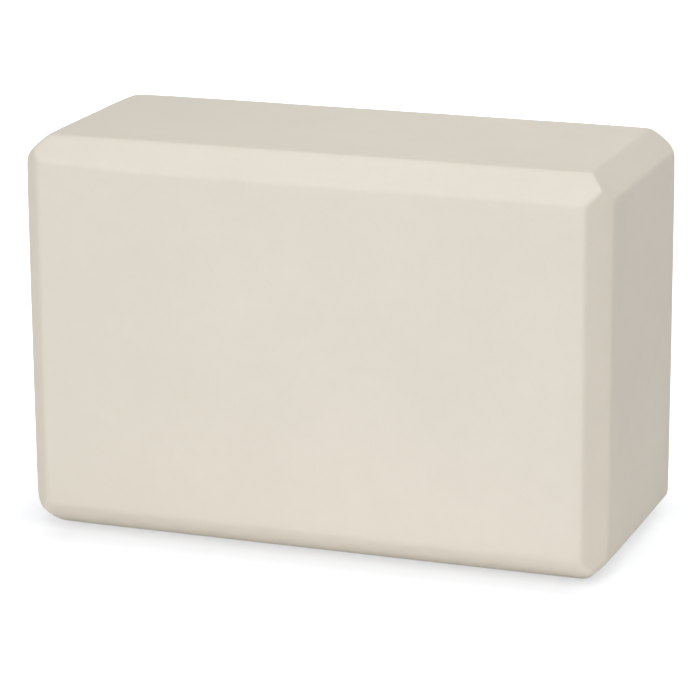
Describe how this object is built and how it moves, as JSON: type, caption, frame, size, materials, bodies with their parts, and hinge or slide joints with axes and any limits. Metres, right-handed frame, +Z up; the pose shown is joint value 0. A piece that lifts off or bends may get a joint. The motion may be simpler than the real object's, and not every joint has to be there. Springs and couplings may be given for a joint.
{
  "type": "yoga block",
  "caption": "Rectangular foam yoga block, bevelled along every edge: a light, firm, non-slip prop that props up a hand, foot, back or seat at a choice of heights.",
  "frame": {"origin": "centre of the base, the long narrow face that the block stands on in the picture", "axes": "+X along the length, to the right in the picture; +Y from the front broad face to the rear one; +Z up"},
  "size_m": [0.2286, 0.1016, 0.1524],
  "materials": {
    "foam": "matte cream closed-cell foam, cut and sanded",
    "bond": "dried contact adhesive, cream, matte"
  },
  "bodies": {
    "root": {"front_sheet": "foam", "rear_sheet": "foam", "bond_film": "bond"}
  },
  "joints": []
}
